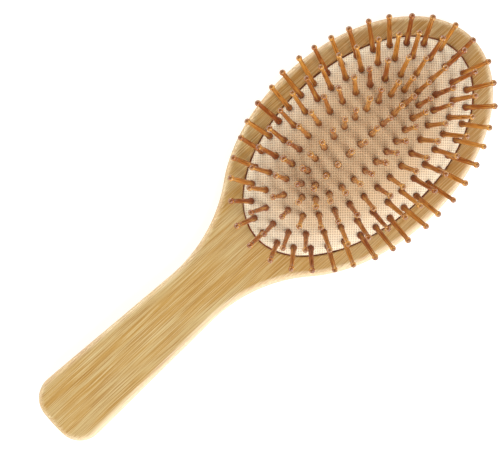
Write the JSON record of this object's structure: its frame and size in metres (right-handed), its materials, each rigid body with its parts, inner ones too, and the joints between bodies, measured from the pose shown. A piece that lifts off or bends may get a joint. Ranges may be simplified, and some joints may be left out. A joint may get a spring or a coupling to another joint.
{
  "type": "paddle brush",
  "caption": "Oval paddle hair brush: one-piece bamboo board with a long handle, a domed air cushion faced in woven cloth, and rings of splayed ball-tipped wooden pins.",
  "frame": {"origin": "middle of the board's flat back, half way along the brush", "axes": "+X along the brush towards the head, +Y across it, +Z out of the pin side"},
  "size_m": [0.24, 0.0876, 0.042],
  "materials": {
    "bamboo_board": "satin varnish over bamboo",
    "rubber": "matte moulded rubber",
    "facing": "plain weave",
    "pins": "satin turned bamboo"
  },
  "bodies": {
    "brush_body": {"bamboo_board": "bamboo_board", "rubber_cushion": "rubber", "fabric_facing": "facing"},
    "centre_pins_02": {"centre_pins_02": "pins"},
    "outer_pins_01": {"outer_pins_01": "pins"},
    "outer_pins_02": {"outer_pins_02": "pins"},
    "outer_pins_03": {"outer_pins_03": "pins"},
    "outer_pins_04": {"outer_pins_04": "pins"},
    "outer_pins_05": {"outer_pins_05": "pins"},
    "outer_pins_06": {"outer_pins_06": "pins"},
    "outer_pins_07": {"outer_pins_07": "pins"},
    "outer_pins_08": {"outer_pins_08": "pins"},
    "outer_pins_09": {"outer_pins_09": "pins"},
    "outer_pins_10": {"outer_pins_10": "pins"},
    "outer_pins_11": {"outer_pins_11": "pins"},
    "outer_pins_12": {"outer_pins_12": "pins"},
    "second_pins_01": {"second_pins_01": "pins"},
    "second_pins_02": {"second_pins_02": "pins"},
    "second_pins_03": {"second_pins_03": "pins"},
    "second_pins_04": {"second_pins_04": "pins"},
    "second_pins_05": {"second_pins_05": "pins"},
    "second_pins_06": {"second_pins_06": "pins"},
    "second_pins_07": {"second_pins_07": "pins"},
    "second_pins_08": {"second_pins_08": "pins"},
    "second_pins_09": {"second_pins_09": "pins"},
    "second_pins_10": {"second_pins_10": "pins"},
    "third_pins_01": {"third_pins_01": "pins"},
    "third_pins_02": {"third_pins_02": "pins"},
    "third_pins_03": {"third_pins_03": "pins"},
    "third_pins_04": {"third_pins_04": "pins"},
    "third_pins_05": {"third_pins_05": "pins"},
    "third_pins_06": {"third_pins_06": "pins"},
    "third_pins_07": {"third_pins_07": "pins"},
    "third_pins_08": {"third_pins_08": "pins"},
    "inner_pins_01": {"inner_pins_01": "pins"},
    "inner_pins_02": {"inner_pins_02": "pins"},
    "inner_pins_03": {"inner_pins_03": "pins"},
    "inner_pins_04": {"inner_pins_04": "pins"},
    "inner_pins_05": {"inner_pins_05": "pins"},
    "inner_pins_06": {"inner_pins_06": "pins"},
    "inner_pins_07": {"inner_pins_07": "pins"},
    "inner_pins_08": {"inner_pins_08": "pins"},
    "centre_pins_01": {"centre_pins_01": "pins"},
    "centre_pins_03": {"centre_pins_03": "pins"}
  },
  "joints": [
    {"name": "pad_press", "type": "slide", "parent": "brush_body", "child": "centre_pins_02", "axis": [0, 0, -1], "range_m": [0, 0.005], "stiffness_N_per_m": 2000, "deforming": ["rubber_cushion", "fabric_facing"]},
    {"name": "outer_pins_01_tilt", "type": "hinge", "parent": "brush_body", "child": "outer_pins_01", "pos_m": [0.11102, 0.00002, 0.01243], "axis": [0.0009, -1, 0], "range_deg": [0, 10.22]},
    {"name": "outer_pins_02_tilt", "type": "hinge", "parent": "brush_body", "child": "outer_pins_02", "pos_m": [0.09969, 0.02115, 0.01263], "axis": [0.7585, -0.6517, 0], "range_deg": [0, 12.08]},
    {"name": "outer_pins_03_tilt", "type": "hinge", "parent": "brush_body", "child": "outer_pins_03", "pos_m": [0.07923, 0.03149, 0.01271], "axis": [0.9543, -0.2987, 0], "range_deg": [0, 13.83]},
    {"name": "outer_pins_04_tilt", "type": "hinge", "parent": "brush_body", "child": "outer_pins_04", "pos_m": [0.05345, 0.03493, 0.01264], "axis": [1, 0.0005, 0], "range_deg": [0, 14.42]},
    {"name": "outer_pins_05_tilt", "type": "hinge", "parent": "brush_body", "child": "outer_pins_05", "pos_m": [0.02768, 0.03146, 0.01271], "axis": [0.954, 0.2999, 0], "range_deg": [0, 13.82]},
    {"name": "outer_pins_06_tilt", "type": "hinge", "parent": "brush_body", "child": "outer_pins_06", "pos_m": [0.00724, 0.0211, 0.01263], "axis": [0.7573, 0.6531, 0], "range_deg": [0, 12.07]},
    {"name": "outer_pins_07_tilt", "type": "hinge", "parent": "brush_body", "child": "outer_pins_07", "pos_m": [-0.00402, -0.00002, 0.01243], "axis": [-0.0009, 1, 0], "range_deg": [0, 10.22]},
    {"name": "outer_pins_08_tilt", "type": "hinge", "parent": "brush_body", "child": "outer_pins_08", "pos_m": [0.00731, -0.02115, 0.01263], "axis": [-0.7585, 0.6517, 0], "range_deg": [0, 12.08]},
    {"name": "outer_pins_09_tilt", "type": "hinge", "parent": "brush_body", "child": "outer_pins_09", "pos_m": [0.02777, -0.03149, 0.01271], "axis": [-0.9543, 0.2987, 0], "range_deg": [0, 13.83]},
    {"name": "outer_pins_10_tilt", "type": "hinge", "parent": "brush_body", "child": "outer_pins_10", "pos_m": [0.05355, -0.03493, 0.01264], "axis": [-1, -0.0005, 0], "range_deg": [0, 14.42]},
    {"name": "outer_pins_11_tilt", "type": "hinge", "parent": "brush_body", "child": "outer_pins_11", "pos_m": [0.07932, -0.03146, 0.01271], "axis": [-0.954, -0.2999, 0], "range_deg": [0, 13.82]},
    {"name": "outer_pins_12_tilt", "type": "hinge", "parent": "brush_body", "child": "outer_pins_12", "pos_m": [0.09975, -0.0211, 0.01263], "axis": [-0.7573, -0.6531, 0], "range_deg": [0, 12.07]},
    {"name": "second_pins_01_tilt", "type": "hinge", "parent": "brush_body", "child": "second_pins_01", "pos_m": [0.11346, 0.00003, 0.01431], "axis": [0.0008, -1, 0], "range_deg": [0, 8.43]},
    {"name": "second_pins_02_tilt", "type": "hinge", "parent": "brush_body", "child": "second_pins_02", "pos_m": [0.09676, 0.02737, 0.01502], "axis": [0.798, -0.6027, 0], "range_deg": [0, 9.74]},
    {"name": "second_pins_03_tilt", "type": "hinge", "parent": "brush_body", "child": "second_pins_03", "pos_m": [0.07079, 0.03718, 0.01544], "axis": [0.9781, -0.2083, 0], "range_deg": [0, 10.99]},
    {"name": "second_pins_04_tilt", "type": "hinge", "parent": "brush_body", "child": "second_pins_04", "pos_m": [0.04049, 0.03773, 0.01544], "axis": [0.9878, 0.1558, 0], "range_deg": [0, 11]},
    {"name": "second_pins_05_tilt", "type": "hinge", "parent": "brush_body", "child": "second_pins_05", "pos_m": [0.01016, 0.02732, 0.01502], "axis": [0.7969, 0.6041, 0], "range_deg": [0, 9.73]},
    {"name": "second_pins_06_tilt", "type": "hinge", "parent": "brush_body", "child": "second_pins_06", "pos_m": [-0.00646, -0.00003, 0.01431], "axis": [-0.0008, 1, 0], "range_deg": [0, 8.43]},
    {"name": "second_pins_07_tilt", "type": "hinge", "parent": "brush_body", "child": "second_pins_07", "pos_m": [0.01024, -0.02737, 0.01502], "axis": [-0.798, 0.6027, 0], "range_deg": [0, 9.74]},
    {"name": "second_pins_08_tilt", "type": "hinge", "parent": "brush_body", "child": "second_pins_08", "pos_m": [0.04056, -0.03774, 0.01544], "axis": [-0.9879, 0.155, 0], "range_deg": [0, 11.01]},
    {"name": "second_pins_09_tilt", "type": "hinge", "parent": "brush_body", "child": "second_pins_09", "pos_m": [0.07088, -0.03717, 0.01544], "axis": [-0.9778, -0.2095, 0], "range_deg": [0, 10.99]},
    {"name": "second_pins_10_tilt", "type": "hinge", "parent": "brush_body", "child": "second_pins_10", "pos_m": [0.09684, -0.02732, 0.01502], "axis": [-0.7969, -0.6041, 0], "range_deg": [0, 9.73]},
    {"name": "third_pins_01_tilt", "type": "hinge", "parent": "brush_body", "child": "third_pins_01", "pos_m": [0.12114, 0.00003, 0.01635], "axis": [0.0007, -1, 0], "range_deg": [0, 6.13]},
    {"name": "third_pins_02_tilt", "type": "hinge", "parent": "brush_body", "child": "third_pins_02", "pos_m": [0.09226, 0.04165, 0.01728], "axis": [0.8658, -0.5004, 0], "range_deg": [0, 6.62]},
    {"name": "third_pins_03_tilt", "type": "hinge", "parent": "brush_body", "child": "third_pins_03", "pos_m": [0.05347, 0.04937, 0.01766], "axis": [1, 0.0004, 0], "range_deg": [0, 7.2]},
    {"name": "third_pins_04_tilt", "type": "hinge", "parent": "brush_body", "child": "third_pins_04", "pos_m": [0.01464, 0.0416, 0.01728], "axis": [0.8649, 0.5019, 0], "range_deg": [0, 6.62]},
    {"name": "third_pins_05_tilt", "type": "hinge", "parent": "brush_body", "child": "third_pins_05", "pos_m": [-0.01414, -0.00003, 0.01635], "axis": [-0.0007, 1, 0], "range_deg": [0, 6.13]},
    {"name": "third_pins_06_tilt", "type": "hinge", "parent": "brush_body", "child": "third_pins_06", "pos_m": [0.01474, -0.04165, 0.01728], "axis": [-0.8658, 0.5004, 0], "range_deg": [0, 6.62]},
    {"name": "third_pins_07_tilt", "type": "hinge", "parent": "brush_body", "child": "third_pins_07", "pos_m": [0.05353, -0.04937, 0.01766], "axis": [-1, -0.0004, 0], "range_deg": [0, 7.2]},
    {"name": "third_pins_08_tilt", "type": "hinge", "parent": "brush_body", "child": "third_pins_08", "pos_m": [0.09236, -0.0416, 0.01728], "axis": [-0.8649, -0.5019, 0], "range_deg": [0, 6.62]},
    {"name": "inner_pins_01_sink", "type": "slide", "parent": "brush_body", "child": "inner_pins_01", "axis": [0, 0, -1], "range_m": [0, 0.00396]},
    {"name": "inner_pins_02_sink", "type": "slide", "parent": "brush_body", "child": "inner_pins_02", "axis": [0, 0, -1], "range_m": [0, 0.00447]},
    {"name": "inner_pins_03_sink", "type": "slide", "parent": "brush_body", "child": "inner_pins_03", "axis": [0, 0, -1], "range_m": [0, 0.00472]},
    {"name": "inner_pins_04_sink", "type": "slide", "parent": "brush_body", "child": "inner_pins_04", "axis": [0, 0, -1], "range_m": [0, 0.00447]},
    {"name": "inner_pins_05_sink", "type": "slide", "parent": "brush_body", "child": "inner_pins_05", "axis": [0, 0, -1], "range_m": [0, 0.00396]},
    {"name": "inner_pins_06_sink", "type": "slide", "parent": "brush_body", "child": "inner_pins_06", "axis": [0, 0, -1], "range_m": [0, 0.00447]},
    {"name": "inner_pins_07_sink", "type": "slide", "parent": "brush_body", "child": "inner_pins_07", "axis": [0, 0, -1], "range_m": [0, 0.00472]},
    {"name": "inner_pins_08_sink", "type": "slide", "parent": "brush_body", "child": "inner_pins_08", "axis": [0, 0, -1], "range_m": [0, 0.00447]},
    {"name": "centre_pins_01_sink", "type": "slide", "parent": "brush_body", "child": "centre_pins_01", "axis": [0, 0, -1], "range_m": [0, 0.00462]},
    {"name": "centre_pins_03_sink", "type": "slide", "parent": "brush_body", "child": "centre_pins_03", "axis": [0, 0, -1], "range_m": [0, 0.00462]}
  ],
  "couplings": [
    {"joint": "outer_pins_01_tilt", "follows": "pad_press", "rad_per_m": 35.518},
    {"joint": "outer_pins_02_tilt", "follows": "pad_press", "rad_per_m": 41.989},
    {"joint": "outer_pins_03_tilt", "follows": "pad_press", "rad_per_m": 48.1},
    {"joint": "outer_pins_04_tilt", "follows": "pad_press", "rad_per_m": 50.147},
    {"joint": "outer_pins_05_tilt", "follows": "pad_press", "rad_per_m": 48.084},
    {"joint": "outer_pins_06_tilt", "follows": "pad_press", "rad_per_m": 41.963},
    {"joint": "outer_pins_07_tilt", "follows": "pad_press", "rad_per_m": 35.518},
    {"joint": "outer_pins_08_tilt", "follows": "pad_press", "rad_per_m": 41.989},
    {"joint": "outer_pins_09_tilt", "follows": "pad_press", "rad_per_m": 48.1},
    {"joint": "outer_pins_10_tilt", "follows": "pad_press", "rad_per_m": 50.147},
    {"joint": "outer_pins_11_tilt", "follows": "pad_press", "rad_per_m": 48.084},
    {"joint": "outer_pins_12_tilt", "follows": "pad_press", "rad_per_m": 41.963},
    {"joint": "second_pins_01_tilt", "follows": "pad_press", "rad_per_m": 29.239},
    {"joint": "second_pins_02_tilt", "follows": "pad_press", "rad_per_m": 33.811},
    {"joint": "second_pins_03_tilt", "follows": "pad_press", "rad_per_m": 38.188},
    {"joint": "second_pins_04_tilt", "follows": "pad_press", "rad_per_m": 38.229},
    {"joint": "second_pins_05_tilt", "follows": "pad_press", "rad_per_m": 33.795},
    {"joint": "second_pins_06_tilt", "follows": "pad_press", "rad_per_m": 29.239},
    {"joint": "second_pins_07_tilt", "follows": "pad_press", "rad_per_m": 33.811},
    {"joint": "second_pins_08_tilt", "follows": "pad_press", "rad_per_m": 38.241},
    {"joint": "second_pins_09_tilt", "follows": "pad_press", "rad_per_m": 38.177},
    {"joint": "second_pins_10_tilt", "follows": "pad_press", "rad_per_m": 33.795},
    {"joint": "third_pins_01_tilt", "follows": "pad_press", "rad_per_m": 21.231},
    {"joint": "third_pins_02_tilt", "follows": "pad_press", "rad_per_m": 22.935},
    {"joint": "third_pins_03_tilt", "follows": "pad_press", "rad_per_m": 24.96},
    {"joint": "third_pins_04_tilt", "follows": "pad_press", "rad_per_m": 22.93},
    {"joint": "third_pins_05_tilt", "follows": "pad_press", "rad_per_m": 21.231},
    {"joint": "third_pins_06_tilt", "follows": "pad_press", "rad_per_m": 22.935},
    {"joint": "third_pins_07_tilt", "follows": "pad_press", "rad_per_m": 24.96},
    {"joint": "third_pins_08_tilt", "follows": "pad_press", "rad_per_m": 22.93},
    {"joint": "inner_pins_01_sink", "follows": "pad_press", "ratio": 0.79067},
    {"joint": "inner_pins_02_sink", "follows": "pad_press", "ratio": 0.89195},
    {"joint": "inner_pins_03_sink", "follows": "pad_press", "ratio": 0.9416},
    {"joint": "inner_pins_04_sink", "follows": "pad_press", "ratio": 0.89169},
    {"joint": "inner_pins_05_sink", "follows": "pad_press", "ratio": 0.79067},
    {"joint": "inner_pins_06_sink", "follows": "pad_press", "ratio": 0.89195},
    {"joint": "inner_pins_07_sink", "follows": "pad_press", "ratio": 0.9416},
    {"joint": "inner_pins_08_sink", "follows": "pad_press", "ratio": 0.89169},
    {"joint": "centre_pins_01_sink", "follows": "pad_press", "ratio": 0.92137},
    {"joint": "centre_pins_03_sink", "follows": "pad_press", "ratio": 0.92137}
  ]
}
